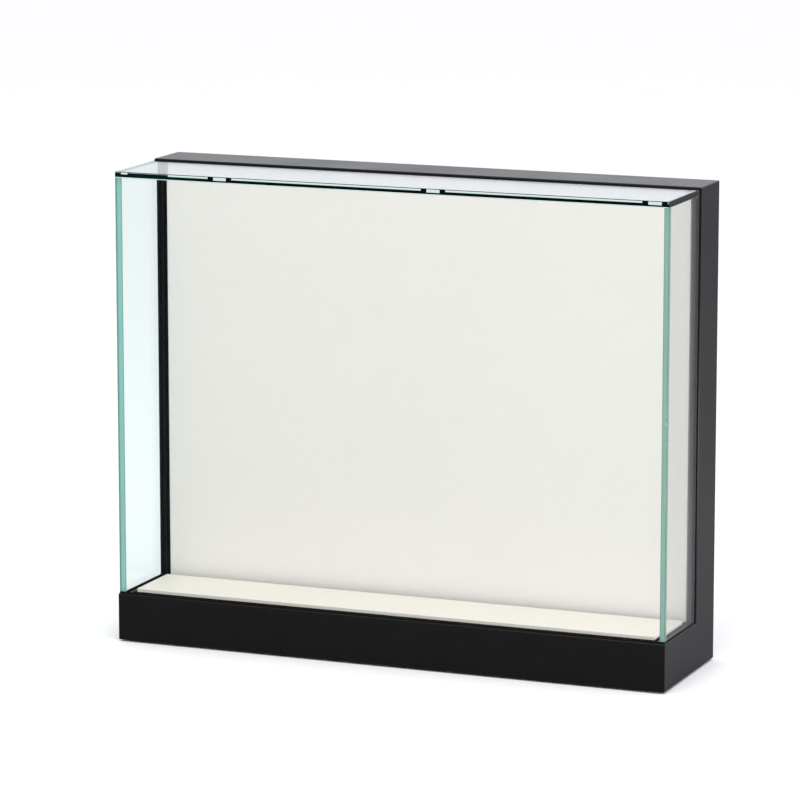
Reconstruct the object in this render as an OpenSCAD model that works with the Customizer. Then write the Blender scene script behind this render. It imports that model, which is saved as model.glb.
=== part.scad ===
// Table-top glass display case: a black L-shaped carcass, white linings and a lift-off glass hood.
// Millimetres, +Z up, the front faces -Y. The origin is under the middle of the case, at the foot of its feet.

/* [Case] */
// Width over the cheeks
case_w = 500; // [400:1:900]
// Depth from the front of the base to the back
case_d = 131; // [115:0.5:220]
// Height of the carcass above its own underside
case_h = 411.5; // [260:0.5:700]
// Height of the base, from its underside to the deck
base_h = 41; // [36:0.5:90]
// Depth of the tall back box
back_d = 48.8; // [44:0.1:70]

/* [Boards] */
// Thickness of the black boards
board_t = 9.5; // [8:0.5:13]
// Thickness of the top rail, which stays behind the edge of the top glass
roof_t = 6; // [5:0.5:10]
// Radius of the eased outer edges
arris_r = 1; // [0.4:0.1:2]
// Thickness of the rear cover
cover_t = 6; // [4:0.5:8]
// How far the rear cover laps into the cheeks
rebate_w = 5; // [3:0.5:6]
// How far the rear cover laps into the top rail
roof_rebate_w = 3; // [2:0.5:4]
// Thickness of the bottom board
bottom_t = 6; // [4:0.5:8]
// How far the bottom board lies above the carcass's underside
bottom_recess = 1; // [0.5:0.1:2]
// Width of the battens behind the back panel
batten_w = 18; // [15:0.5:26]
// Side of the corner blocks in the base
block_w = 20; // [16:0.5:26]

/* [Linings] */
// Thickness of the white back panel
back_panel_t = 12; // [8:0.5:14]
// Shadow gap between the back panel and the cheeks
shadow_gap = 3.3; // [1:0.1:6]
// Gap between the back panel and the top rail
top_gap = 1; // [0.5:0.1:4]
// Thickness of the white floor panel
floor_panel_t = 3.2; // [2:0.1:8]
// Margin of bare deck between the floor panel and the glass
floor_margin = 7; // [2:0.1:15]
// Margin of bare deck between the floor panel and the back panel
floor_rear_margin = 7.6; // [2:0.1:15]

/* [Glass hood] */
// Thickness of the glass sheets
glass_t = 5; // [4:0.5:8]
// How far the glass stands in from the carcass
glass_inset = 1; // [0.5:0.1:2]
// How far the top of the glass lies below the top of the back box
glass_drop = 1.5; // [0.5:0.1:4]
// Width of the ground edge on the hood's outer corners
ground_edge = 0.5; // [0.2:0.1:1]
// Thickness of the adhesive between the sheets
bond_t = 0.2; // [0.1:0.05:0.5]
// Thickness of the strip under the hood
base_seal_t = 1.2; // [0.8:0.1:3]
// Thickness of the strip behind the hood
back_seal_t = 2; // [0.5:0.1:4]
// Running gap between the hood and the strip behind it
slide_gap = 0.3; // [0.2:0.05:1]

/* [Fasteners] */
// Shank diameter of the wood screws
screw_d = 3.5; // [2.5:0.1:4]
// Head diameter of the wood screws
screw_head_d = 7; // [5:0.1:8]
// Height of a screw head
screw_head_h = 2.2; // [1.5:0.1:2.8]
// How far a bottom screw bites into its block
block_bite = 13; // [8:0.5:15]
// How far a cover screw bites into the battens and the rear rail
cover_bite = 7.5; // [5:0.5:7.5]
// Wood left under the head of a back panel screw
panel_screw_seat = 14; // [8:0.5:16]
// Panel left in front of the tip of a back panel screw
panel_screw_stop = 3; // [2:0.5:5]
// Diameter of the dowels
dowel_d = 5; // [4:0.5:6]
// Depth of a dowel in the deck
dowel_deck = 14; // [8:0.5:25]
// Depth of a dowel in a cheek
dowel_cheek = 5; // [3:0.5:6]
// Radial clearance round screws and dowels
hole_clear = 0.1; // [0.05:0.05:0.3]

/* [Feet] */
// Height of the feet below the carcass
foot_h = 1.5; // [1:0.5:8]
// Diameter of a foot
foot_d = 18; // [12:0.5:24]
// Rounding of a foot's lower rim
foot_r = 0.8; // [0.3:0.1:1]
// Distance from the side of the case to the middle of a foot
foot_inset_x = 50; // [46:0.5:120]
// Distance from the front or the back of the case to the middle of a foot
foot_inset_y = 26; // [25:0.5:40]

/* [Hidden] */
$fn = 48;
overcut = 1;
black = "#1b1b1d";
white = "#efece4";
raw_wood = "#b08b5b";
glass_tint = [0.72, 0.9, 0.86, 0.35];

half_w = case_w / 2;
inner_x = half_w - board_t;
front_y = -case_d / 2;
rear_y = case_d / 2;
box_y = rear_y - back_d;
cover_y = rear_y - cover_t;
base_z = foot_h;
deck_z = base_z + base_h;
top_z = base_z + case_h;
box_roof_z = top_z - roof_t;
deck_under_z = deck_z - board_t;
bottom_z = base_z + bottom_recess;
block_z = bottom_z + bottom_t;

glass_x = half_w - glass_inset;
glass_in_x = glass_x - glass_t;
glass_front_y = front_y + glass_inset;
glass_in_y = glass_front_y + glass_t;
glass_rear_y = box_y - back_seal_t - slide_gap;
glass_z = deck_z + base_seal_t;
glass_top_z = top_z - glass_drop;
glass_roof_z = glass_top_z - glass_t;
sheet_top_z = glass_roof_z - bond_t;

panel_back_y = box_y + back_panel_t;
batten_depth = cover_y - panel_back_y;
batten_mid_x = inner_x - batten_w / 2;
batten_len = box_roof_z - deck_z;

block_mid_x = inner_x - block_w / 2;
block_front_y = front_y + board_t + block_w / 2;
block_rear_y = cover_y - board_t - block_w / 2;

cover_screw_len = cover_t + cover_bite;
bottom_screw_len = bottom_t + block_bite;
panel_screw_bite = back_panel_t - panel_screw_stop;
cover_screw_zs = [for (share = [0.08, 0.5, 0.88]) deck_z + share * batten_len];
panel_screw_zs = [for (share = [0.2, 0.68]) deck_z + share * batten_len];
cross_screw_xs = [-0.5, 0, 0.5] * inner_x;
dowel_ys = [for (share = [0.15, 0.5, 0.85]) front_y + board_t + share * (cover_y - front_y - board_t)];

// Box between two opposite corners
module span(low, high) {
  translate(low) cube(high - low);
}

module both_sides() {
  children();
  mirror([1, 0, 0]) children();
}

// Waste outside a rounded corner at the origin, where the board lies towards +X and +Y
module round_waste() {
  difference() {
    translate([-overcut, -overcut]) square(arris_r + overcut);
    translate([arris_r, arris_r]) circle(arris_r);
  }
}

// The case from the side: (Y, Z), with its outer corners eased
module side_outline() {
  difference() {
    polygon([
      [front_y, base_z], [rear_y, base_z], [rear_y, top_z],
      [box_y, top_z], [box_y, deck_z], [front_y, deck_z]
    ]);
    translate([front_y, base_z]) round_waste();
    translate([rear_y, base_z]) rotate(90) round_waste();
    translate([rear_y, top_z]) rotate(180) round_waste();
    translate([box_y, top_z]) rotate(-90) round_waste();
    translate([front_y, deck_z]) rotate(-90) round_waste();
  }
}

// Waste along an upright outer edge of the left cheek, where the board lies towards +Y
module upright_waste(y, low_z, high_z) {
  translate([-half_w, y, low_z]) linear_extrude(high_z - low_z) round_waste();
}

// Waste along a level outer edge of the left cheek, where the board lies below
module level_waste(z, near_y, far_y) {
  translate([-half_w, near_y, z]) rotate([-90, 0, 0]) linear_extrude(far_y - near_y) round_waste();
}

// Waste along all outer edges of the left side
module side_waste() {
  upright_waste(front_y, base_z, deck_z);
  upright_waste(box_y, deck_z, top_z);
  mirror([0, 1, 0]) upright_waste(-rear_y, base_z, top_z);
  level_waste(deck_z, front_y, box_y);
  level_waste(top_z, box_y, rear_y);
  mirror([0, 0, 1]) level_waste(-base_z, front_y, rear_y);
}

// Outer form of the whole carcass, which the outer boards are cut from
module carcass_form() {
  difference() {
    translate([-half_w, 0, 0]) rotate([90, 0, 90]) linear_extrude(case_w) side_outline();
    both_sides() side_waste();
  }
}

// Board across the base's front with mitred ends, run past the outer faces
module front_rail_blank() {
  reach = half_w + overcut;
  translate([0, 0, base_z - overcut]) linear_extrude(base_h + 2 * overcut) polygon([
    [-reach, front_y - overcut], [reach, front_y - overcut],
    [inner_x, front_y + board_t], [-inner_x, front_y + board_t]
  ]);
}

// Board across the top of the back box with mitred ends, run past the outer faces
module top_rail_blank() {
  reach = half_w + overcut * board_t / roof_t;
  translate([0, rear_y + overcut, 0]) rotate([90, 0, 0]) linear_extrude(back_d + 2 * overcut) polygon([
    [-reach, top_z + overcut], [reach, top_z + overcut],
    [inner_x, box_roof_z], [-inner_x, box_roof_z]
  ]);
}

// Pocket that the rear cover lies in
module rebate(clear = 0) {
  edge = inner_x + rebate_w - clear;
  span([-edge, cover_y, base_z - overcut], [edge, rear_y + overcut, box_roof_z + roof_rebate_w - clear]);
}

// Straight hole along +Z from the origin
module hole(d, depth) {
  cylinder(d = d + 2 * hole_clear, h = depth);
}

// Countersunk wood screw along -Z, with its head's top at the origin
module flat_screw(shank) {
  translate([0, 0, -screw_head_h]) cylinder(d1 = screw_d, d2 = screw_head_d, h = screw_head_h);
  translate([0, 0, -shank]) cylinder(d = screw_d, h = shank - screw_head_h);
}

// Hole that a countersunk screw fills
module flat_screw_hole(shank) {
  wide = 2 * hole_clear;
  translate([0, 0, -screw_head_h])
    cylinder(d1 = screw_d + wide, d2 = screw_head_d + wide, h = screw_head_h);
  translate([0, 0, -shank - hole_clear]) hole(screw_d, shank - screw_head_h + 2 * hole_clear);
  hole(screw_head_d, overcut);
}

// Places of the cover's screws, with +Z pointing out of the back
module at_cover_screws() {
  for (side = [-1, 1])
    for (z = cover_screw_zs)
      translate([side * batten_mid_x, rear_y, z]) rotate([-90, 0, 0]) children();
  for (x = cross_screw_xs) {
    translate([x, rear_y, box_roof_z - batten_w / 2]) rotate([-90, 0, 0]) children();
    translate([x, rear_y, (base_z + deck_under_z) / 2]) rotate([-90, 0, 0]) children();
  }
}

// Places of the back panel's screws, at the battens' front faces, with +Z pointing to the back
module at_panel_screws() {
  for (side = [-1, 1])
    for (z = panel_screw_zs)
      translate([side * batten_mid_x, panel_back_y, z]) rotate([-90, 0, 0]) children();
}

// Places of the bottom board's screws, with +Z pointing down
module at_bottom_screws() {
  for (x = [-1, 1] * block_mid_x)
    for (y = [block_front_y, block_rear_y])
      translate([x, y, bottom_z]) rotate([180, 0, 0]) children();
}

// Places of the left dowels, at the deck's end, with +Z pointing into the deck
module at_left_dowels() {
  for (y = dowel_ys) translate([-inner_x, y, deck_z - board_t / 2]) rotate([0, 90, 0]) children();
}

module dowel_holes() {
  at_left_dowels() translate([0, 0, -dowel_cheek - hole_clear]) hole(dowel_d, dowel_cheek + hole_clear);
  at_left_dowels() hole(dowel_d, dowel_deck + hole_clear);
}

module cheek() {
  difference() {
    intersection() {
      carcass_form();
      span([-half_w, front_y, base_z], [-inner_x, rear_y, top_z]);
    }
    front_rail_blank();
    top_rail_blank();
    rebate();
    dowel_holes();
  }
}

module left_cheek() {
  color(black) cheek();
}

module right_cheek() {
  color(black) mirror([1, 0, 0]) cheek();
}

module front_rail() {
  color(black) intersection() {
    carcass_form();
    front_rail_blank();
  }
}

module top_rail() {
  color(black) difference() {
    intersection() {
      carcass_form();
      top_rail_blank();
    }
    rebate();
  }
}

module base_deck() {
  color(black) difference() {
    span([-inner_x, front_y + board_t, deck_under_z], [inner_x, cover_y, deck_z]);
    both_sides() dowel_holes();
  }
}

module rear_rail() {
  color(black) difference() {
    span([-inner_x, cover_y - board_t, base_z], [inner_x, cover_y, deck_under_z]);
    at_cover_screws() flat_screw_hole(cover_screw_len);
  }
}

module bottom_board() {
  color(black) difference() {
    span([-inner_x, front_y + board_t, bottom_z], [inner_x, cover_y - board_t, block_z]);
    at_bottom_screws() flat_screw_hole(bottom_screw_len);
  }
}

module rear_cover() {
  color(black) difference() {
    intersection() {
      carcass_form();
      rebate(hole_clear);
    }
    at_cover_screws() flat_screw_hole(cover_screw_len);
  }
}

module batten() {
  difference() {
    span([-inner_x, panel_back_y, deck_z], [batten_w - inner_x, cover_y, box_roof_z]);
    at_cover_screws() flat_screw_hole(cover_screw_len);
    at_panel_screws() hole(screw_d, batten_depth);
    at_panel_screws() translate([0, 0, panel_screw_seat]) hole(screw_head_d, batten_depth);
  }
}

module left_batten() {
  color(raw_wood) batten();
}

module right_batten() {
  color(raw_wood) mirror([1, 0, 0]) batten();
}

module top_batten() {
  edge = inner_x - batten_w;
  color(raw_wood) difference() {
    span([-edge, panel_back_y, box_roof_z - batten_w], [edge, cover_y, box_roof_z]);
    at_cover_screws() flat_screw_hole(cover_screw_len);
  }
}

module corner_blocks() {
  color(raw_wood) difference() {
    for (x = [-1, 1] * block_mid_x)
      for (y = [block_front_y, block_rear_y])
        translate([x, y, block_z]) translate([-block_w, -block_w, 0] / 2)
          cube([block_w, block_w, deck_under_z - block_z]);
    at_bottom_screws() flat_screw_hole(bottom_screw_len);
  }
}

module dowels() {
  color(raw_wood) both_sides() at_left_dowels()
    translate([0, 0, -dowel_cheek]) cylinder(d = dowel_d, h = dowel_cheek + dowel_deck);
}

module panel_screws() {
  color("silver") at_panel_screws() {
    translate([0, 0, -panel_screw_bite]) cylinder(d = screw_d, h = panel_screw_bite + panel_screw_seat);
    translate([0, 0, panel_screw_seat]) cylinder(d = screw_head_d, h = screw_head_h);
  }
}

module cover_screws() {
  color(black) at_cover_screws() flat_screw(cover_screw_len);
}

module bottom_screws() {
  color(black) at_bottom_screws() flat_screw(bottom_screw_len);
}

// One foot, from its rounded rim on the floor up to the bottom board
module foot() {
  rim = foot_d / 2 - foot_r;
  rotate_extrude() {
    square([rim, bottom_z]);
    translate([0, foot_r]) square([foot_d / 2, bottom_z - foot_r]);
    translate([rim, foot_r]) circle(foot_r);
  }
}

module feet() {
  color("#202020")
    for (x = [-1, 1] * (half_w - foot_inset_x))
      for (y = [-1, 1] * (case_d / 2 - foot_inset_y))
        translate([x, y, 0]) foot();
}

module floor_panel() {
  edge = glass_in_x - floor_margin;
  color(white) span(
    [-edge, glass_in_y + floor_margin, deck_z],
    [edge, box_y - floor_rear_margin, deck_z + floor_panel_t]
  );
}

module back_panel() {
  edge = inner_x - shadow_gap;
  color(white) difference() {
    span([-edge, box_y, deck_z], [edge, panel_back_y, box_roof_z - top_gap]);
    at_panel_screws() mirror([0, 0, 1]) hole(screw_d, panel_screw_bite + hole_clear);
  }
}

// Strip on the deck under the hood's front and sides
module base_seal() {
  color(black) difference() {
    span([-glass_x, glass_front_y, deck_z], [glass_x, box_y, glass_z]);
    span([-glass_in_x, glass_in_y, deck_z - overcut], [glass_in_x, box_y + overcut, glass_z + overcut]);
  }
}

// Strip on the front of the back box, behind the hood's sides and top
module back_seal() {
  face_y = box_y - back_seal_t;
  color(black) difference() {
    span([-glass_x, face_y, glass_z], [glass_x, box_y, glass_top_z]);
    span([-glass_in_x, face_y - overcut, glass_z - overcut], [glass_in_x, box_y + overcut, glass_roof_z]);
  }
}

// Waste of a ground corner at the origin, where the glass lies towards +X and +Y
module ground_waste() {
  polygon([[-overcut, -overcut], [ground_edge + overcut, -overcut], [-overcut, ground_edge + overcut]]);
}

// Waste along the hood's outer corners: two upright, three level
module hood_waste() {
  both_sides() {
    translate([-glass_x, glass_front_y, glass_z - overcut]) linear_extrude(case_h) ground_waste();
    translate([-glass_x, glass_front_y - overcut, glass_top_z])
      rotate([-90, 0, 0]) linear_extrude(case_d) ground_waste();
  }
  translate([-half_w, glass_front_y, glass_top_z])
    rotate([90, 0, 90]) linear_extrude(case_w) rotate(-90) ground_waste();
}

module front_glass() {
  color(glass_tint) difference() {
    span([-glass_x, glass_front_y, glass_z], [glass_x, glass_in_y, sheet_top_z]);
    hood_waste();
  }
}

module left_glass() {
  color(glass_tint)
    span([-glass_x, glass_in_y + bond_t, glass_z], [-glass_in_x, glass_rear_y, sheet_top_z]);
}

module right_glass() {
  color(glass_tint) mirror([1, 0, 0])
    span([-glass_x, glass_in_y + bond_t, glass_z], [-glass_in_x, glass_rear_y, sheet_top_z]);
}

module top_glass() {
  color(glass_tint) difference() {
    span([-glass_x, glass_front_y, glass_roof_z], [glass_x, glass_rear_y, glass_top_z]);
    hood_waste();
  }
}

// Adhesive between the sheets: two upright lines and a band under the top sheet
module bond_film() {
  color(glass_tint) {
    both_sides() span([-glass_x, glass_in_y, glass_z], [-glass_in_x, glass_in_y + bond_t, sheet_top_z]);
    difference() {
      span([-glass_x, glass_front_y, sheet_top_z], [glass_x, glass_rear_y, glass_roof_z]);
      span(
        [-glass_in_x, glass_in_y, sheet_top_z - overcut],
        [glass_in_x, glass_rear_y + overcut, glass_roof_z + overcut]
      );
      hood_waste();
    }
  }
}

left_cheek();
right_cheek();
front_rail();
top_rail();
base_deck();
rear_rail();
bottom_board();
rear_cover();
left_batten();
right_batten();
top_batten();
corner_blocks();
dowels();
panel_screws();
cover_screws();
bottom_screws();
feet();
floor_panel();
back_panel();
base_seal();
back_seal();
front_glass();
left_glass();
right_glass();
top_glass();
bond_film();
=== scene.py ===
import math

import bmesh
import bpy
from mathutils import Matrix, Vector


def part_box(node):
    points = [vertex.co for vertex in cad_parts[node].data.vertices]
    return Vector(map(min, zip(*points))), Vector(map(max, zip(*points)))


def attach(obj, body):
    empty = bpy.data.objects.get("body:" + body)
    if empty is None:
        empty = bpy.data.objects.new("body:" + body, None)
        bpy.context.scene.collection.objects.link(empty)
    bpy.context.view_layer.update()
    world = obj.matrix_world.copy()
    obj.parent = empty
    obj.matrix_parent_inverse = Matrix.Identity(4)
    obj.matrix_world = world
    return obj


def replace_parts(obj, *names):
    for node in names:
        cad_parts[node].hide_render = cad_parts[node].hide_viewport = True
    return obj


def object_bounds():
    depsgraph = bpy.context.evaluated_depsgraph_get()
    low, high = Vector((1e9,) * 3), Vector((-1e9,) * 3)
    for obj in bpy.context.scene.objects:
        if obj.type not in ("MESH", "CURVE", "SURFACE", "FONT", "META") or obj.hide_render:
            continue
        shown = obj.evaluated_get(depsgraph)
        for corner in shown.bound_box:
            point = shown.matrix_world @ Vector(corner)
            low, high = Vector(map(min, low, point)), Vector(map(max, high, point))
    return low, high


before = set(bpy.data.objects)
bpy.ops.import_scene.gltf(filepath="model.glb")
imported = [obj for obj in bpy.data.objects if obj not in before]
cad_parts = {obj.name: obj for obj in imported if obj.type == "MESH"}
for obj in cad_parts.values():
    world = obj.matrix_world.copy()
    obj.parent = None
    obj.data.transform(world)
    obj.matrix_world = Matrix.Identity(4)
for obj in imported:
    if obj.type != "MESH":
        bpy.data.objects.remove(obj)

bl_info = {
    "name": "Glass display case",
    "version": (1, 0, 0),
    "blender": (4, 5, 0),
    "location": "View3D > Sidebar > Display case",
    "description": "Dresses a table-top display case with lacquer, linings, bonded glass, seals and screws",
    "category": "Object",
}

CAD_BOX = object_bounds()
MM = 0.001

OUTER_BOARDS = ("left_cheek", "right_cheek", "front_rail", "top_rail")
HIDDEN_BOARDS = ("rear_cover", "rear_rail", "bottom_board")
TIMBER = ("left_batten", "right_batten", "top_batten", "corner_blocks", "dowels")
SHEETS = {
    "front_glass": {"face": (0.0, 1.0, 0.0), "clear_ends": True},
    "left_glass": {"face": (1.0, 0.0, 0.0), "density": 24.0},
    "right_glass": {"face": (1.0, 0.0, 0.0)},
    "top_glass": {"face": (0.0, 0.0, 1.0), "painted_edges": True},
}

DUST = (0.55, 0.54, 0.52, 1.0)
CLEAR = (1.0, 1.0, 1.0, 1.0)
# Ground edges of the other sheets: the glass's own green, darkened with painted shade
GREEN_EDGE_PAINTED_SHADE = (0.02, 0.045, 0.042, 1.0)
# Painted shade: near black base of the top sheet's ground edges, standing in for the dark seen in them
PAINTED_EDGE_SHADE = (0.0003, 0.0012, 0.001, 1.0)
GLASS_BODY = (0.40, 0.80, 0.76, 1.0)
WINDOW = (0.965, 0.97, 0.968, 1.0)
# Painted light: tint of the level bond lines, darker green at the left and pale at the right
PAINTED_BOND_LEFT = (0.35, 0.62, 0.55)
PAINTED_BOND_RIGHT = (0.8, 0.93, 0.9)
SKY_WHITE = (0.975, 0.98, 1.0, 1.0)
SKY_MIRRORED = (0.96, 0.98, 1.04, 1.0)

# Painted light in the top sheet's front edge: widths and steps along it, heights above its lower corner
BLOCK_PLACE = 43 * MM
BLOCK_STEP = 194 * MM
BLOCK_HALF = 5.8 * MM
BLOCK_END = 11.0 * MM
LINE_TOP = 3.0 * MM
LINE_FOOT = 0.4 * MM
END_RISE = 1.6 * MM
BLOCK_DROP = 1.2 * MM
THICK_RISE = 1.3 * MM
THICK_FROM = -280 * MM
THICK_TO = -242 * MM
CORNER_FROM = -286 * MM
TEAL_FROM = -205 * MM

SCREW_REACH = 8 * MM
SCREW_TURN = math.radians(37.0)
SCREW_HEAD = 0.31

SOFTBOX = {
    "size": (2.4, 1.8),
    "colour": (1.0, 1.0, 1.0),
    "place": (0.3, -1.2, 2.4),
    "target": (0.0, 0.0, 0.2),
}
SIDE_LIGHT = {
    "size": (0.9, 0.1),
    "colour": (0.94, 0.84, 1.0),
    "place": (0.8, 0.05, 0.08),
    "target": (0.25, 0.0, 0.03),
}


# Settings


class CaseFinish(bpy.types.PropertyGroup):
    """Colours and small sizes of the case"""

    lacquer: bpy.props.FloatVectorProperty(
        name="Lacquer", description="Satin black of the outer boards",
        subtype="COLOR", size=3, min=0, max=1, default=(0.0026, 0.0025, 0.0028))
    board: bpy.props.FloatVectorProperty(
        name="Board", description="Stain of the rear cover and the underside",
        subtype="COLOR", size=3, min=0, max=1, default=(0.030, 0.029, 0.028))
    lining: bpy.props.FloatVectorProperty(
        name="Back lining", description="Off-white of the back panel",
        subtype="COLOR", size=3, min=0, max=1, default=(0.795, 0.758, 0.717))
    floor_sheet: bpy.props.FloatVectorProperty(
        name="Floor sheet", description="Off-white of the floor panel",
        subtype="COLOR", size=3, min=0, max=1, default=(0.748, 0.680, 0.612))
    timber: bpy.props.FloatVectorProperty(
        name="Timber", description="Planed softwood of the inner pieces",
        subtype="COLOR", size=3, min=0, max=1, default=(0.50, 0.33, 0.17))
    # Painted light: colour of the glow lines painted into the top sheet's front edge
    painted_edge_glow: bpy.props.FloatVectorProperty(
        name="Glass edge", description="Pale mint of the lit, polished glass edges",
        subtype="COLOR", size=3, min=0, max=1, default=(0.62, 0.74, 0.72))
    # Painted light: faint teal glow painted into the dark parts of that edge
    painted_edge_teal: bpy.props.FloatVectorProperty(
        name="Deep edge", description="Dark teal inside the unlit glass edges",
        subtype="COLOR", size=3, min=0, max=1, default=(0.0, 0.0095, 0.0092))
    # Painted light: the sea green of light in the side sheets' edges behind the front sheet, lighter on the
    # left where more light comes through
    painted_left_joint: bpy.props.FloatVectorProperty(
        name="Left joint", description="Sea green of the left sheet's edge behind the front sheet",
        subtype="COLOR", size=3, min=0, max=1, default=(0.255, 0.54, 0.478))
    painted_right_joint: bpy.props.FloatVectorProperty(
        name="Right joint", description="Sea green of the right sheet's edge behind the front sheet",
        subtype="COLOR", size=3, min=0, max=1, default=(0.245, 0.42, 0.345))
    rubber: bpy.props.FloatVectorProperty(
        name="Rubber", description="Black of the seals, the feet and the deck",
        subtype="COLOR", size=3, min=0, max=1, default=(0.008, 0.008, 0.008))
    panel_edge: bpy.props.FloatProperty(
        name="Panel edge", description="Rounding of the linings' edges",
        subtype="DISTANCE", unit="LENGTH", min=0, default=0.4 * MM)
    seal_edge: bpy.props.FloatProperty(
        name="Seal edge", description="Rounding of the rubber strips",
        subtype="DISTANCE", unit="LENGTH", min=0, default=0.12 * MM)
    bond_bite: bpy.props.FloatProperty(
        name="Bond bite", description="How far an upright bond line wets the sheets",
        subtype="DISTANCE", unit="LENGTH", min=0, default=0.03 * MM)
    bond_gap: bpy.props.FloatProperty(
        name="Bond gap", description="Air left between a level bond line and the sheets",
        subtype="DISTANCE", unit="LENGTH", min=0, default=0.03 * MM)
    seal_bite: bpy.props.FloatProperty(
        name="Seal bite", description="How far a strip presses past the glass it touches",
        subtype="DISTANCE", unit="LENGTH", min=0, default=0.06 * MM)
    recess_width: bpy.props.FloatProperty(
        name="Recess width", description="Width of one wing of a screw's cross recess",
        subtype="DISTANCE", unit="LENGTH", min=0, default=0.9 * MM)
    recess_reach: bpy.props.FloatProperty(
        name="Recess reach", description="Length of a wing of a screw's cross recess",
        subtype="DISTANCE", unit="LENGTH", min=0, default=2.1 * MM)
    recess_depth: bpy.props.FloatProperty(
        name="Recess depth", description="Depth of a screw's cross recess",
        subtype="DISTANCE", unit="LENGTH", min=0, default=1.5 * MM)


class CaseStage(bpy.types.PropertyGroup):
    """Camera, floor and light"""

    azimuth: bpy.props.FloatProperty(
        name="Azimuth", description="Camera's turn to the right of the front",
        subtype="ANGLE", unit="ROTATION", default=math.radians(22.025))
    elevation: bpy.props.FloatProperty(
        name="Elevation", description="Camera's height above level",
        subtype="ANGLE", unit="ROTATION", default=math.radians(10.577))
    distance: bpy.props.FloatProperty(
        name="Distance", description="From the camera to the point it aims at",
        subtype="DISTANCE", unit="LENGTH", default=3.658)
    aim: bpy.props.FloatVectorProperty(
        name="Aim", description="Point in the plane of the base's front that the camera aims at",
        subtype="XYZ", unit="LENGTH", size=3, default=(0.01397, CAD_BOX[0].y, 0.23182))
    lens: bpy.props.FloatProperty(
        name="Lens", description="Focal length on a sensor 36 mm wide",
        subtype="DISTANCE_CAMERA", unit="CAMERA", min=1, default=196.41)
    floor_size: bpy.props.FloatProperty(
        name="Floor size", description="Side of the pale floor",
        subtype="DISTANCE", unit="LENGTH", default=40.0)
    floor_colour: bpy.props.FloatVectorProperty(
        name="Floor colour", description="Pale studio floor",
        subtype="COLOR", size=3, min=0, max=1, default=(0.80, 0.80, 0.80))
    sky: bpy.props.FloatProperty(
        name="Sky", description="Strength of the even white surround",
        min=0, default=1.25)
    softbox: bpy.props.FloatProperty(
        name="Softbox", description="Power of the overhead softbox",
        subtype="POWER", unit="POWER", min=0, default=36.0)
    side_light: bpy.props.FloatProperty(
        name="Side light", description="Power of the low lamp beside the base's right end",
        subtype="POWER", unit="POWER", min=0, default=3.1)


# Shader helpers


def add_node(tree, kind, inputs=None, **settings):
    """Adds a shader node, sets it up and links or fills its inputs."""
    made = tree.nodes.new(kind)
    for name, value in settings.items():
        setattr(made, name, value)
    for name, value in (inputs or {}).items():
        if isinstance(value, bpy.types.NodeSocket):
            tree.links.new(value, made.inputs[name])
        else:
            made.inputs[name].default_value = value
    return made


def add_group(tree, group, **inputs):
    """Places a node group in a material; underscores in the names stand for spaces."""
    made = tree.nodes.new("ShaderNodeGroup")
    made.node_tree = group
    for name, value in inputs.items():
        socket = made.inputs[name.replace("_", " ")]
        if isinstance(value, bpy.types.NodeSocket):
            tree.links.new(value, socket)
        else:
            socket.default_value = value
    return made


def new_group(name, inputs, outputs):
    """Starts a shader node group and returns it with its input and output nodes."""
    group = bpy.data.node_groups.new(name, "ShaderNodeTree")
    for in_out, sockets in (("INPUT", inputs), ("OUTPUT", outputs)):
        for label, kind in sockets.items():
            group.interface.new_socket(label, in_out=in_out, socket_type=kind)
    return group, group.nodes.new("NodeGroupInput"), group.nodes.new("NodeGroupOutput")


def rgba(colour):
    return (*colour, 1.0)


# Shared effects


def fine_texture_group():
    """Fine grain from two noises: a height for bump and a roughness between two values."""
    group, given, result = new_group(
        "fine_texture",
        {"Scale": "NodeSocketFloat", "Low": "NodeSocketFloat", "High": "NodeSocketFloat"},
        {"Height": "NodeSocketFloat", "Roughness": "NodeSocketFloat"})
    place = add_node(group, "ShaderNodeTexCoord")
    fine = add_node(group, "ShaderNodeTexNoise", {
        "Vector": place.outputs["Object"], "Scale": given.outputs["Scale"], "Detail": 3.0})
    broad = add_node(group, "ShaderNodeTexNoise", {
        "Vector": place.outputs["Object"], "Scale": 14.0, "Detail": 4.0})
    spread = add_node(group, "ShaderNodeMapRange", {
        "Value": broad.outputs["Fac"], "From Min": 0.3, "From Max": 0.7,
        "To Min": given.outputs["Low"], "To Max": given.outputs["High"]})
    group.links.new(fine.outputs["Fac"], result.inputs["Height"])
    group.links.new(spread.outputs["Result"], result.inputs["Roughness"])
    return group


def tone_drift_group():
    """Slow, faint change of brightness over a colour."""
    group, given, result = new_group(
        "tone_drift",
        {"Colour": "NodeSocketColor", "Scale": "NodeSocketFloat", "Amount": "NodeSocketFloat"},
        {"Colour": "NodeSocketColor"})
    place = add_node(group, "ShaderNodeTexCoord")
    drift = add_node(group, "ShaderNodeTexNoise", {
        "Vector": place.outputs["Object"], "Scale": given.outputs["Scale"], "Detail": 5.0})
    centred = add_node(group, "ShaderNodeMath", {0: drift.outputs["Fac"], 1: 0.5}, operation="SUBTRACT")
    gain = add_node(group, "ShaderNodeMath", {
        0: centred.outputs[0], 1: given.outputs["Amount"], 2: 1.0}, operation="MULTIPLY_ADD")
    scaled = add_node(group, "ShaderNodeVectorMath", {
        0: given.outputs["Colour"], "Scale": gain.outputs[0]}, operation="SCALE")
    group.links.new(scaled.outputs[0], result.inputs["Colour"])
    return group


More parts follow.
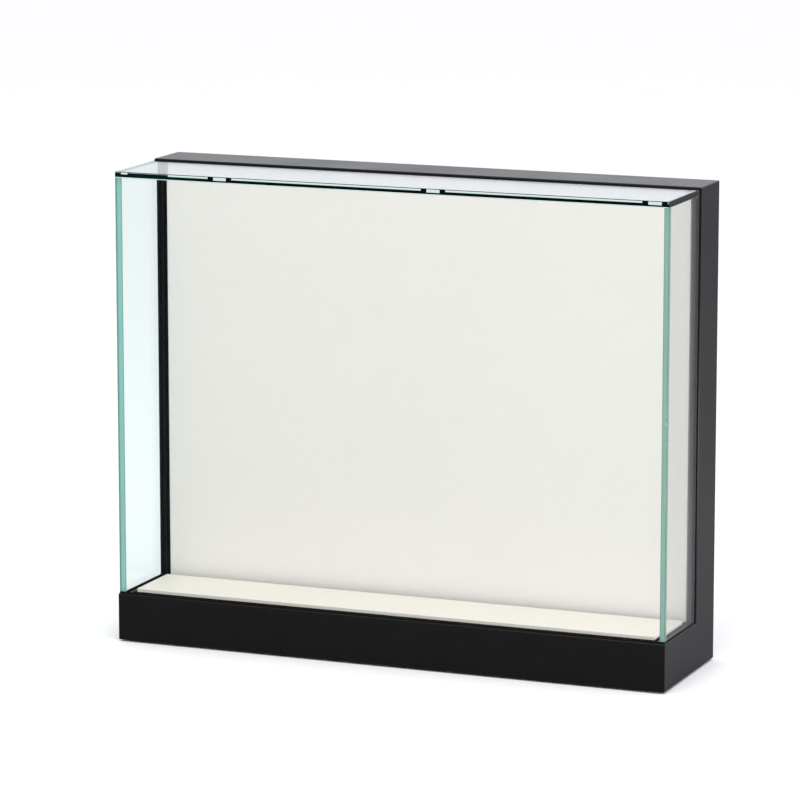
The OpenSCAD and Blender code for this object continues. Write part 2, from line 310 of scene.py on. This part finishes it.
def dust_group():
    """Sparse specks of dust on faces that look up."""
    group, given, result = new_group(
        "settled_dust", {"Specks": "NodeSocketFloat"}, {"Mask": "NodeSocketFloat"})
    place = add_node(group, "ShaderNodeTexCoord")
    specks = add_node(group, "ShaderNodeTexNoise", {
        "Vector": place.outputs["Object"], "Scale": 900.0, "Detail": 2.0})
    sparse = add_node(group, "ShaderNodeMapRange", {
        "Value": specks.outputs["Fac"], "From Min": 0.68, "From Max": 0.76,
        "To Min": 0.0, "To Max": given.outputs["Specks"]})
    facing = add_node(group, "ShaderNodeSeparateXYZ", {"Vector": place.outputs["Normal"]})
    upward = add_node(group, "ShaderNodeMath", {
        0: facing.outputs["Z"], 1: sparse.outputs["Result"]}, operation="MULTIPLY", use_clamp=True)
    group.links.new(upward.outputs[0], result.inputs["Mask"])
    return group


def sheet_edge_group():
    """Masks of a glass sheet's narrow edges, given the direction that its faces look along."""
    group, given, result = new_group(
        "sheet_edges", {"Face": "NodeSocketVector"},
        {"Edge": "NodeSocketFloat", "Front": "NodeSocketFloat", "Side": "NodeSocketFloat"})
    place = add_node(group, "ShaderNodeTexCoord")
    along = add_node(group, "ShaderNodeVectorMath", {
        0: place.outputs["Normal"], 1: given.outputs["Face"]}, operation="DOT_PRODUCT")
    size = add_node(group, "ShaderNodeMath", {0: along.outputs["Value"]}, operation="ABSOLUTE")
    edge = add_node(group, "ShaderNodeMapRange", {
        "Value": size.outputs[0], "From Min": 0.95, "From Max": 0.85, "To Min": 0.0, "To Max": 1.0})
    facing = add_node(group, "ShaderNodeSeparateXYZ", {"Vector": place.outputs["Normal"]})
    front = add_node(group, "ShaderNodeMath", {0: facing.outputs["Y"], 1: -0.9}, operation="LESS_THAN")
    sideways = add_node(group, "ShaderNodeMath", {0: facing.outputs["X"]}, operation="ABSOLUTE")
    side = add_node(group, "ShaderNodeMath", {0: sideways.outputs[0], 1: 0.6}, operation="GREATER_THAN")
    for name, mask in (("Front", front), ("Side", side)):
        both = add_node(group, "ShaderNodeMath", {
            0: mask.outputs[0], 1: edge.outputs["Result"]}, operation="MULTIPLY")
        group.links.new(both.outputs[0], result.inputs[name])
    group.links.new(edge.outputs["Result"], result.inputs["Edge"])
    return group


def shared(maker, name):
    """The node group of that name, made at its first use."""
    return bpy.data.node_groups.get(name) or maker()


# Materials


def new_material(name):
    """An empty node material with its output node."""
    material = bpy.data.materials.new(name)
    material.use_nodes = True
    material.node_tree.nodes.clear()
    return material, material.node_tree, material.node_tree.nodes.new("ShaderNodeOutputMaterial")


def textured(name, colour, grain, roughness, bump, drift, specks=0.0, **constants):
    """An opaque finish: drifting colour, a fine bump, uneven gloss and, where it is given, dust."""
    material, tree, output = new_material(name)
    texture = add_group(tree, shared(fine_texture_group, "fine_texture"),
                        Scale=grain, Low=roughness[0], High=roughness[1])
    tone = add_group(tree, shared(tone_drift_group, "tone_drift"),
                     Colour=rgba(colour), Scale=9.0, Amount=drift).outputs["Colour"]
    if specks:
        settled = add_group(tree, shared(dust_group, "settled_dust"), Specks=specks)
        tone = add_node(tree, "ShaderNodeMixRGB", {
            "Fac": settled.outputs["Mask"], "Color1": tone, "Color2": DUST}).outputs["Color"]
    relief = add_node(tree, "ShaderNodeBump", {
        "Height": texture.outputs["Height"], "Strength": bump, "Distance": 0.1 * MM})
    surface = add_node(tree, "ShaderNodeBsdfPrincipled", {
        "Base Color": tone, "Roughness": texture.outputs["Roughness"],
        "Normal": relief.outputs["Normal"], **constants})
    tree.links.new(surface.outputs[0], output.inputs["Surface"])
    return material


def satin_lacquer(finish):
    return textured("satin_lacquer", finish.lacquer, grain=700.0, roughness=(0.27, 0.33), bump=0.05,
                    drift=0.25, specks=0.03, **{"IOR": 1.39, "Specular Tint": (0.72, 0.70, 0.66, 1.0)})


def matt_deck(finish):
    return textured("matt_deck", finish.rubber, grain=1400.0, roughness=(0.6, 0.75), bump=0.1, drift=0.3,
                    IOR=1.05)


def stained_board(finish):
    return textured("stained_board", finish.board, grain=1400.0, roughness=(0.55, 0.7), bump=0.25,
                    drift=0.5, IOR=1.35)


def white_lacquer(finish):
    depth = {"Subsurface Weight": 1.0, "Subsurface Radius": (1.0, 1.0, 0.95), "Subsurface Scale": 3 * MM}
    return textured("white_lacquer", finish.lining, grain=1100.0, roughness=(0.5, 0.6), bump=0.06,
                    drift=0.02, **depth)


def white_sheet(finish):
    return textured("white_sheet", finish.floor_sheet, grain=900.0, roughness=(0.42, 0.5), bump=0.05,
                    drift=0.02)


def foot_rubber(finish):
    return textured("foot_rubber", finish.rubber, grain=2500.0, roughness=(0.7, 0.8), bump=0.4, drift=0.4)


def cell_rubber(finish):
    return textured("cell_rubber", finish.rubber, grain=4000.0, roughness=(0.85, 0.95), bump=0.6, drift=0.5,
                    IOR=1.05)


def black_oxide():
    return textured("black_oxide", (0.03, 0.03, 0.031), grain=3000.0, roughness=(0.32, 0.5), bump=0.15,
                    drift=0.4, Metallic=0.9)


def zinc_plate():
    return textured("zinc_plate", (0.55, 0.56, 0.58), grain=3000.0, roughness=(0.3, 0.45), bump=0.1,
                    drift=0.3, Metallic=1.0)


def planed_softwood(finish):
    """Softwood with growth rings stretched along each length."""
    material, tree, output = new_material("planed_softwood")
    place = add_node(tree, "ShaderNodeTexCoord")
    stretch = add_node(tree, "ShaderNodeMapping", {
        "Vector": place.outputs["Object"], "Scale": (60.0, 90.0, 6.0)})
    rings = add_node(tree, "ShaderNodeTexNoise", {
        "Vector": stretch.outputs["Vector"], "Scale": 2.5, "Detail": 6.0, "Distortion": 1.2})
    dark = tuple(0.45 * part for part in finish.timber)
    grain = add_node(tree, "ShaderNodeMixRGB", {
        "Fac": rings.outputs["Fac"], "Color1": rgba(finish.timber), "Color2": rgba(dark)})
    relief = add_node(tree, "ShaderNodeBump", {
        "Height": rings.outputs["Fac"], "Strength": 0.2, "Distance": 0.2 * MM})
    texture = add_group(tree, shared(fine_texture_group, "fine_texture"), Scale=800.0, Low=0.55, High=0.75)
    surface = add_node(tree, "ShaderNodeBsdfPrincipled", {
        "Base Color": grain.outputs["Color"], "Roughness": texture.outputs["Roughness"],
        "Normal": relief.outputs["Normal"]})
    tree.links.new(surface.outputs[0], output.inputs["Surface"])
    return material


def edge_glow(tree, low, edges, finish):
    """Painted light: a glow painted into the front edge of the top sheet, whose low corner is given.

    A dark line runs between two pale painted lines of light and is thicker at the left end. Pale blocks with
    dark ends break it at even steps. The dark parts glow with a painted trace of teal, which is stronger at
    the left end.
    """
    place = add_node(tree, "ShaderNodeTexCoord")
    spot = add_node(tree, "ShaderNodeVectorMath", {
        0: place.outputs["Object"], 1: (BLOCK_PLACE, 0.0, low.z)}, operation="SUBTRACT")
    parts = add_node(tree, "ShaderNodeSeparateXYZ", {"Vector": spot.outputs[0]})
    height, length = parts.outputs["Z"], parts.outputs["X"]

    def maths(operation, *values):
        return add_node(tree, "ShaderNodeMath", dict(enumerate(values)), operation=operation).outputs[0]

    def between(value, lowest, highest):
        return maths("COMPARE", value, (lowest + highest) / 2, (highest - lowest) / 2)

    def scaled(colour, factor):
        made = add_node(tree, "ShaderNodeVectorMath", {0: colour, "Scale": factor}, operation="SCALE")
        return made.outputs[0]

    away = maths("ABSOLUTE", maths("WRAP", length, BLOCK_STEP / 2, -BLOCK_STEP / 2))
    line_top = maths("MULTIPLY_ADD", between(away, BLOCK_HALF, BLOCK_END), END_RISE, LINE_TOP)
    line_top = maths("MULTIPLY_ADD", maths("LESS_THAN", away, BLOCK_HALF), -BLOCK_DROP, line_top)
    thick = maths("MAXIMUM", between(length, THICK_FROM, THICK_TO), maths("LESS_THAN", length, CORNER_FROM))
    line_top = maths("MULTIPLY_ADD", thick, THICK_RISE, line_top)
    below = maths("LESS_THAN", height, LINE_FOOT)
    above = maths("GREATER_THAN", height, line_top)
    glow = maths("MULTIPLY", edges.outputs["Front"], maths("MULTIPLY_ADD", below, 1.3, above))
    left = maths("MULTIPLY_ADD", maths("LESS_THAN", length, TEAL_FROM), 0.7, 0.3)
    depth = maths("MULTIPLY", edges.outputs["Front"], left)
    both = add_node(tree, "ShaderNodeVectorMath", {
        0: scaled(finish.painted_edge_glow, glow), 1: scaled(finish.painted_edge_teal, depth)}, operation="ADD")
    return both.outputs[0]


def float_glass(name, finish, face, density=9.0, clear_ends=False, painted_edges=False):
    """Clear float glass whose ground edges get a dark tint: the green is the glass's own, the darkness is
    painted shade. Lamps shine through it.

    A sheet with clear ends has polished edges to the left and right. Painted edges show painted mint lines of
    light on black painted shade.
    """
    material, tree, output = new_material(name)
    edges = add_group(tree, shared(sheet_edge_group, "sheet_edges"), Face=face)
    ground = edges.outputs["Edge"]
    if clear_ends:
        ground = add_node(tree, "ShaderNodeMath", {
            0: ground, 1: edges.outputs["Side"]}, operation="SUBTRACT", use_clamp=True).outputs[0]
    # Ground edges take a dark tint of painted shade: black on the top sheet, dark green on the others
    tint = add_node(tree, "ShaderNodeMixRGB", {
        "Fac": ground, "Color1": CLEAR, "Color2": PAINTED_EDGE_SHADE if painted_edges else GREEN_EDGE_PAINTED_SHADE})
    polish = add_node(tree, "ShaderNodeMapRange", {"Value": ground, "To Min": 0.0, "To Max": 0.12})
    glass = add_node(tree, "ShaderNodeBsdfPrincipled", {
        "Base Color": tint.outputs["Color"], "Roughness": polish.outputs["Result"],
        "IOR": 1.52, "Transmission Weight": 1.0, "Specular Tint": (0.12, 0.12, 0.12, 1.0)})
    if painted_edges:
        # Painted light: the edge glows by its emission, though it is no lamp
        tree.links.new(edge_glow(tree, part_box(name)[0], edges, finish), glass.inputs["Emission Color"])
        glass.inputs["Emission Strength"].default_value = 1.1
    window = add_node(tree, "ShaderNodeBsdfTransparent", {"Color": WINDOW})
    path = add_node(tree, "ShaderNodeLightPath")
    lamp = add_node(tree, "ShaderNodeMath", {
        0: path.outputs["Is Shadow Ray"], 1: path.outputs["Is Diffuse Ray"]}, operation="MAXIMUM")
    either = add_node(tree, "ShaderNodeMixShader", {
        "Fac": lamp.outputs[0], 1: glass.outputs[0], 2: window.outputs[0]})
    body = add_node(tree, "ShaderNodeVolumeAbsorption", {"Color": GLASS_BODY, "Density": density})
    tree.links.new(either.outputs[0], output.inputs["Surface"])
    tree.links.new(body.outputs[0], output.inputs["Volume"])
    return material


def clear_film(name, left, right, alpha, sheet=None):
    """Adhesive between two sheets, whose colour is painted light that turns from left to right, with faint
    streaks.

    Where the box of an upright sheet is given, painted shade makes the film darker along the sheet's two
    faces.
    """
    material, tree, output = new_material(name)
    place = add_node(tree, "ShaderNodeTexCoord")
    parts = add_node(tree, "ShaderNodeSeparateXYZ", {"Vector": place.outputs["Object"]})
    across = add_node(tree, "ShaderNodeMapRange", {
        "Value": parts.outputs["X"], "From Min": CAD_BOX[0].x, "From Max": CAD_BOX[1].x})
    # Painted light: the colour turns across the case from the left colour to the right one, as the light on
    # each side differs
    turning = add_node(tree, "ShaderNodeMixRGB", {
        "Fac": across.outputs["Result"], "Color1": rgba(left), "Color2": rgba(right)})
    colour = turning.outputs["Color"]
    if sheet:
        low, high = sheet
        outward = add_node(tree, "ShaderNodeMath", {0: parts.outputs["X"]}, operation="ABSOLUTE")
        off = add_node(tree, "ShaderNodeMath", {
            0: outward.outputs[0], 1: (low.x + high.x) / 2}, operation="SUBTRACT")
        from_middle = add_node(tree, "ShaderNodeMath", {0: off.outputs[0]}, operation="ABSOLUTE")
        # Painted shade: darker along the upright sheet's two faces
        shade = add_node(tree, "ShaderNodeMapRange", {
            "Value": from_middle.outputs[0], "From Min": 0.28 * (high.x - low.x),
            "From Max": 0.45 * (high.x - low.x), "To Min": 1.0, "To Max": 0.7})
        colour = add_node(tree, "ShaderNodeVectorMath", {
            0: colour, "Scale": shade.outputs["Result"]}, operation="SCALE").outputs[0]
    tone = add_group(tree, shared(tone_drift_group, "tone_drift"), Colour=colour, Scale=40.0, Amount=0.12)
    texture = add_group(tree, shared(fine_texture_group, "fine_texture"), Scale=600.0, Low=0.3, High=0.5)
    surface = add_node(tree, "ShaderNodeBsdfPrincipled", {
        "Base Color": tone.outputs["Colour"], "Roughness": texture.outputs["Roughness"], "Alpha": alpha})
    tree.links.new(surface.outputs[0], output.inputs["Surface"])
    return material


def fading(tree, diffuse, glossy):
    """A factor that falls for light that has already bounced off a dull or a polished face."""
    path = add_node(tree, "ShaderNodeLightPath")
    kept = []
    for depth, share in (("Diffuse Depth", diffuse), ("Glossy Depth", glossy)):
        once = add_node(tree, "ShaderNodeMath", {0: path.outputs[depth], 1: 1.0}, operation="MINIMUM")
        left = add_node(tree, "ShaderNodeMath", {0: once.outputs[0], 1: share - 1.0, 2: 1.0},
                        operation="MULTIPLY_ADD")
        kept.append(left.outputs[0])
    return add_node(tree, "ShaderNodeMath", {0: kept[0], 1: kept[1]}, operation="MULTIPLY").outputs[0]


def pale_floor(stage):
    """Pale floor that throws back less light than it shows, as a floor seen past a shade does."""
    material, tree, output = new_material("pale_floor")
    tone = add_group(tree, shared(tone_drift_group, "tone_drift"),
                     Colour=rgba(stage.floor_colour), Scale=1.5, Amount=0.01)
    shaded = add_node(tree, "ShaderNodeVectorMath", {
        0: tone.outputs["Colour"], "Scale": fading(tree, diffuse=0.63, glossy=0.41)}, operation="SCALE")
    surface = add_node(tree, "ShaderNodeBsdfPrincipled", {
        "Base Color": shaded.outputs[0], "Roughness": 0.8, "Specular IOR Level": 0.1})
    tree.links.new(surface.outputs[0], output.inputs["Surface"])
    return material


# Mesh helpers


def set_material(piece, material):
    """Gives an object this material alone."""
    piece.data.materials.clear()
    piece.data.materials.append(material)


def finish_nodes(names, material):
    for name in names:
        set_material(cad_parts[name], material)


def soften_edges(piece, width):
    """Welds a solid's faces and rounds its sharp edges, without touching its own mesh."""
    piece.modifiers.new("weld", "WELD").merge_threshold = 0.001 * MM
    flat = piece.modifiers.new("flat faces", "DECIMATE")
    flat.decimate_type = "DISSOLVE"
    flat.angle_limit = math.radians(1.0)
    round_over = piece.modifiers.new("rounded edges", "BEVEL")
    round_over.width = width
    round_over.segments = 3
    round_over.limit_method = "ANGLE"
    round_over.angle_limit = math.radians(40.0)
    round_over.harden_normals = True


def new_piece(name, mesh_data, material, body):
    """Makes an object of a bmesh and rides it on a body."""
    mesh = bpy.data.meshes.new(name)
    mesh_data.to_mesh(mesh)
    mesh_data.free()
    piece = bpy.data.objects.new(name, mesh)
    bpy.context.scene.collection.objects.link(piece)
    mesh.materials.append(material)
    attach(piece, body)
    return piece


def add_block(mesh_data, low, high):
    """Adds a box between two corners."""
    middle = (Vector(low) + Vector(high)) / 2
    size = Vector(high) - Vector(low)
    matrix = Matrix.Translation(middle) @ Matrix.Diagonal((*size, 1.0))
    bmesh.ops.create_cube(mesh_data, size=1.0, matrix=matrix)


def add_prism(mesh_data, outline, lift):
    """Adds a closed outline pushed along a vector."""
    low = [mesh_data.verts.new(point) for point in outline]
    high = [mesh_data.verts.new(Vector(point) + lift) for point in outline]
    mesh_data.faces.new(list(reversed(low)))
    mesh_data.faces.new(high)
    for index, start in enumerate(low):
        following = (index + 1) % len(low)
        mesh_data.faces.new((start, low[following], high[following], high[index]))


def round_all(mesh_data, width):
    bmesh.ops.recalc_face_normals(mesh_data, faces=mesh_data.faces[:])
    bmesh.ops.bevel(mesh_data, geom=mesh_data.edges[:], offset=width, segments=2, profile=0.5,
                    affect="EDGES", clamp_overlap=True)


def clusters(node, reach):
    """Boxes of the separate solids of a node, found by grouping its points."""
    boxes = []
    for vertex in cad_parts[node].data.vertices:
        point = vertex.co
        for low, high in boxes:
            if all(low[i] - reach < point[i] < high[i] + reach for i in range(3)):
                for i in range(3):
                    low[i] = min(low[i], point[i])
                    high[i] = max(high[i], point[i])
                break
        else:
            boxes.append((point.copy(), point.copy()))
    return boxes


# Screws


def cross_outline(width, reach):
    """Corners of a plus sign, in order."""
    arm = width / 2
    corner = [(reach, -arm), (reach, arm), (arm, arm)]
    turns = [Matrix.Rotation(quarter * math.pi / 2, 2) for quarter in range(4)]
    return [turn @ Vector(point) for turn in turns for point in corner]


def add_screw(mesh_data, place, head_radius, shank_radius, head_height, length, finish, sides=32):
    """Adds a countersunk screw with a cross recess; place turns its axis, head outwards, to the case."""
    def ring(points, z):
        return [mesh_data.verts.new(place @ Vector((x, y, z))) for x, y in points]

    def circle(radius):
        steps = [2 * math.pi * step / sides for step in range(sides)]
        return [(radius * math.cos(turn), radius * math.sin(turn)) for turn in steps]

    def skin(upper, lower):
        for index in range(len(upper)):
            after = (index + 1) % len(upper)
            mesh_data.faces.new((upper[index], lower[index], lower[after], upper[after]))

    def loop_edges(verts):
        pairs = zip(verts, verts[1:] + verts[:1])
        return [mesh_data.edges.get(pair) or mesh_data.edges.new(pair) for pair in pairs]

    rim = ring(circle(head_radius), 0.0)
    neck = ring(circle(shank_radius), -head_height)
    tip = ring(circle(shank_radius), -length)
    mouth = ring(cross_outline(finish.recess_width, finish.recess_reach), 0.0)
    sole = ring(cross_outline(0.7 * finish.recess_width, 0.6 * finish.recess_reach), -finish.recess_depth)
    bmesh.ops.triangle_fill(mesh_data, edges=loop_edges(rim) + loop_edges(mouth), use_beauty=True)
    skin(rim, neck)
    skin(neck, tip)
    skin(list(reversed(mouth)), list(reversed(sole)))
    mesh_data.faces.new(sole)
    mesh_data.faces.new(list(reversed(tip)))


# Operators


class DISPLAY_CASE_OT_carcass(bpy.types.Operator):
    """Lacquer the outer boards and paint the deck"""

    bl_idname = "display_case.carcass"
    bl_label = "Outer boards"

    def execute(self, context):
        finish = context.scene.case_finish
        finish_nodes(OUTER_BOARDS, satin_lacquer(finish))
        finish_nodes(["base_deck"], matt_deck(finish))
        return {"FINISHED"}


class DISPLAY_CASE_OT_hidden_boards(bpy.types.Operator):
    """Stain the rear cover and the boards under the base"""

    bl_idname = "display_case.hidden_boards"
    bl_label = "Rear cover and underside"

    def execute(self, context):
        finish_nodes(HIDDEN_BOARDS, stained_board(context.scene.case_finish))
        return {"FINISHED"}


class DISPLAY_CASE_OT_timber(bpy.types.Operator):
    """Give the battens, blocks and dowels their wood"""

    bl_idname = "display_case.timber"
    bl_label = "Inner timber"

    def execute(self, context):
        finish_nodes(TIMBER, planed_softwood(context.scene.case_finish))
        return {"FINISHED"}


class DISPLAY_CASE_OT_linings(bpy.types.Operator):
    """Finish the white back panel and floor panel"""

    bl_idname = "display_case.linings"
    bl_label = "Linings"

    def execute(self, context):
        finish = context.scene.case_finish
        finish_nodes(["back_panel"], white_lacquer(finish))
        finish_nodes(["floor_panel"], white_sheet(finish))
        for name in ("back_panel", "floor_panel"):
            soften_edges(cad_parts[name], finish.panel_edge)
        return {"FINISHED"}


class DISPLAY_CASE_OT_hood(bpy.types.Operator):
    """Give the hood's sheets their glass"""

    bl_idname = "display_case.hood"
    bl_label = "Glass hood"

    def execute(self, context):
        for name, look in SHEETS.items():
            set_material(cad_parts[name], float_glass(name, context.scene.case_finish, **look))
        return {"FINISHED"}


class DISPLAY_CASE_OT_bond(bpy.types.Operator):
    """Lay the thin bond lines between the sheets"""

    bl_idname = "display_case.bond"
    bl_label = "Bond lines"

    def execute(self, context):
        finish = context.scene.case_finish
        gap = finish.bond_gap
        bite = finish.bond_bite
        front_low, front_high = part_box("front_glass")
        top_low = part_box("top_glass")[0]
        upright = bmesh.new()
        level = bmesh.new()
        for side in ("left_glass", "right_glass"):
            low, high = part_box(side)
            add_block(upright, (low.x, front_high.y - bite, low.z), (high.x, low.y + bite, high.z))
            add_block(level, (low.x, low.y, high.z + gap), (high.x, high.y, top_low.z - gap))
        add_block(level, (front_low.x, front_low.y, front_high.z + gap),
                  (front_high.x, front_high.y, top_low.z - gap))
        # The upright film is a real bond line; its green and its darker borders are painted light and painted
        # shade
        joint = clear_film("joint_painted_light", finish.painted_left_joint, finish.painted_right_joint, 0.9,
                           sheet=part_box("right_glass"))
        # Painted light: the level bond's tint turns from darker green on the left to pale on the right
        clear = clear_film("bond_painted_light", PAINTED_BOND_LEFT, PAINTED_BOND_RIGHT, 0.2)
        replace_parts(new_piece("upright_bond", upright, joint, "hood"), "bond_film")
        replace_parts(new_piece("level_bond", level, clear, "hood"), "bond_film")
        return {"FINISHED"}


class DISPLAY_CASE_OT_seals(bpy.types.Operator):
    """Lay the rubber strips under and behind the hood"""

    bl_idname = "display_case.seals"
    bl_label = "Seals"

    def execute(self, context):
        finish = context.scene.case_finish
        rubber = cell_rubber(finish)
        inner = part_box("left_glass")[1].x
        base_low, base_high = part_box("base_seal")
        front_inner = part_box("front_glass")[1].y
        under = bmesh.new()
        add_prism(under, [
            (base_low.x, base_high.y, base_low.z), (base_low.x, base_low.y, base_low.z),
            (base_high.x, base_low.y, base_low.z), (base_high.x, base_high.y, base_low.z),
            (-inner, base_high.y, base_low.z), (-inner, front_inner, base_low.z),
            (inner, front_inner, base_low.z), (inner, base_high.y, base_low.z),
        ], Vector((0, 0, base_high.z - base_low.z + finish.seal_bite)))
        round_all(under, finish.seal_edge)
        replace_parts(new_piece("hood_seal", under, rubber, "carcass"), "base_seal")
        back_low, back_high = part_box("back_seal")
        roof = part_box("top_glass")[0].z
        behind = bmesh.new()
        add_prism(behind, [
            (back_low.x, back_low.y, back_low.z), (inner, back_low.y, back_low.z),
            (inner, back_low.y, roof), (-inner, back_low.y, roof),
            (-inner, back_low.y, back_low.z), (back_high.x, back_low.y, back_low.z),
            (back_high.x, back_low.y, back_high.z), (back_low.x, back_low.y, back_high.z),
        ], Vector((0, back_high.y - back_low.y, 0)))
        round_all(behind, finish.seal_edge)
        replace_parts(new_piece("box_seal", behind, rubber, "carcass"), "back_seal")
        edging = bmesh.new()
        for sheet in ("left_glass", "right_glass", "top_glass"):
            low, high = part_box(sheet)
            add_block(edging, (low.x, high.y - finish.seal_bite, low.z),
                      (high.x, high.y + finish.seal_bite, high.z))
        new_piece("rear_edging", edging, rubber, "hood")
        return {"FINISHED"}


class DISPLAY_CASE_OT_screws(bpy.types.Operator):
    """Make the screws of the rear cover and the bottom board, with cross recesses"""

    bl_idname = "display_case.screws"
    bl_label = "Screws"

    def execute(self, context):
        finish = context.scene.case_finish
        oxide = black_oxide()
        for node, outward in (("cover_screws", Vector((0, 1, 0))), ("bottom_screws", Vector((0, 0, -1)))):
            turn = outward.to_track_quat("Z", "Y").to_matrix().to_4x4()
            screws = bmesh.new()
            for index, (low, high) in enumerate(clusters(node, SCREW_REACH)):
                size = high - low
                length = abs(size.dot(outward))
                head = (high + low) / 2 + outward * length / 2
                spin = Matrix.Rotation(SCREW_TURN * index, 4, "Z")
                add_screw(screws, Matrix.Translation(head) @ turn @ spin, size.x / 2, size.x / 4,
                          size.x * SCREW_HEAD, length, finish)
            piece = new_piece(f"{node}_crossed", screws, oxide, "carcass")
            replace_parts(piece, node)
        finish_nodes(["panel_screws"], zinc_plate())
        return {"FINISHED"}


class DISPLAY_CASE_OT_feet(bpy.types.Operator):
    """Give the feet their rubber"""

    bl_idname = "display_case.feet"
    bl_label = "Feet"

    def execute(self, context):
        finish_nodes(["feet"], foot_rubber(context.scene.case_finish))
        return {"FINISHED"}


class DISPLAY_CASE_OT_stage(bpy.types.Operator):
    """Set the floor, the light and the camera"""

    bl_idname = "display_case.stage"
    bl_label = "Stage"

    def execute(self, context):
        stage = context.scene.case_stage
        self.lay_floor(stage)
        self.hang_lights(context.scene, stage)
        self.set_camera(context.scene, stage)
        return {"FINISHED"}

    def lay_floor(self, stage):
        plane = bmesh.new()
        bmesh.ops.create_grid(plane, x_segments=1, y_segments=1, size=stage.floor_size / 2)
        mesh = bpy.data.meshes.new("studio_floor")
        plane.to_mesh(mesh)
        plane.free()
        floor = bpy.data.objects.new("studio_floor", mesh)
        bpy.context.scene.collection.objects.link(floor)
        mesh.materials.append(pale_floor(stage))

    def hang_lights(self, scene, stage):
        scene.view_settings.view_transform = "Standard"
        world = bpy.data.worlds.new("studio_surround")
        world.use_nodes = True
        tree = world.node_tree
        strength = add_node(tree, "ShaderNodeMath", {
            0: fading(tree, diffuse=1.0, glossy=0.75), 1: stage.sky}, operation="MULTIPLY")
        path = add_node(tree, "ShaderNodeLightPath")
        mirrored = add_node(tree, "ShaderNodeMath", {
            0: path.outputs["Glossy Depth"], 1: 1.0}, operation="MINIMUM")
        tint = add_node(tree, "ShaderNodeMixRGB", {
            "Fac": mirrored.outputs[0], "Color1": SKY_WHITE, "Color2": SKY_MIRRORED})
        surround = tree.nodes["Background"]
        tree.links.new(tint.outputs["Color"], surround.inputs["Color"])
        tree.links.new(strength.outputs[0], surround.inputs["Strength"])
        scene.world = world
        self.hang_lamp(scene, "overhead_softbox", stage.softbox, **SOFTBOX)
        self.hang_lamp(scene, "side_light", stage.side_light, **SIDE_LIGHT)

    def hang_lamp(self, scene, name, power, size, colour, place, target):
        """Hangs a rectangular lamp that faces a point and is not seen itself."""
        lamp = bpy.data.lights.new(name, "AREA")
        lamp.shape = "RECTANGLE"
        lamp.size, lamp.size_y = size
        lamp.energy = power
        lamp.color = colour
        hung = bpy.data.objects.new(name, lamp)
        hung.location = place
        hung.rotation_euler = (Vector(place) - Vector(target)).to_track_quat("Z", "Y").to_euler()
        hung.visible_camera = False
        hung.visible_transmission = False
        scene.collection.objects.link(hung)

    def set_camera(self, scene, stage):
        aim = Vector(stage.aim)
        level = math.cos(stage.elevation)
        outward = Vector((math.sin(stage.azimuth) * level, -math.cos(stage.azimuth) * level,
                          math.sin(stage.elevation)))
        lens = bpy.data.cameras.new("photo_camera")
        lens.lens = stage.lens
        lens.sensor_width = 36.0
        lens.clip_end = 200.0
        camera = bpy.data.objects.new("photo_camera", lens)
        camera.location = aim + stage.distance * outward
        camera.rotation_euler = outward.to_track_quat("Z", "Y").to_euler()
        scene.collection.objects.link(camera)
        scene.camera = camera


class DISPLAY_CASE_PT_sidebar(bpy.types.Panel):
    """Lists the case's pieces and its stage"""

    bl_label = "Display case"
    bl_space_type = "VIEW_3D"
    bl_region_type = "UI"
    bl_category = "Display case"

    def draw(self, context):
        for settings in (context.scene.case_finish, context.scene.case_stage):
            column = self.layout.column()
            for name in settings.bl_rna.properties.keys():
                if name not in ("rna_type", "name"):
                    column.prop(settings, name)
        for operator in OPERATORS:
            self.layout.operator(operator.bl_idname)


OPERATORS = (
    DISPLAY_CASE_OT_stage,
    DISPLAY_CASE_OT_carcass,
    DISPLAY_CASE_OT_hidden_boards,
    DISPLAY_CASE_OT_timber,
    DISPLAY_CASE_OT_linings,
    DISPLAY_CASE_OT_hood,
    DISPLAY_CASE_OT_bond,
    DISPLAY_CASE_OT_seals,
    DISPLAY_CASE_OT_screws,
    DISPLAY_CASE_OT_feet,
)
CLASSES = (CaseFinish, CaseStage, *OPERATORS, DISPLAY_CASE_PT_sidebar)


def register():
    for each in CLASSES:
        bpy.utils.register_class(each)
    bpy.types.Scene.case_finish = bpy.props.PointerProperty(type=CaseFinish)
    bpy.types.Scene.case_stage = bpy.props.PointerProperty(type=CaseStage)


def unregister():
    del bpy.types.Scene.case_stage
    del bpy.types.Scene.case_finish
    for each in reversed(CLASSES):
        bpy.utils.unregister_class(each)


def main():
    register()
    for operator in OPERATORS:
        family, action = operator.bl_idname.split(".")
        getattr(getattr(bpy.ops, family), action)()


if __name__ == "__main__":
    main()
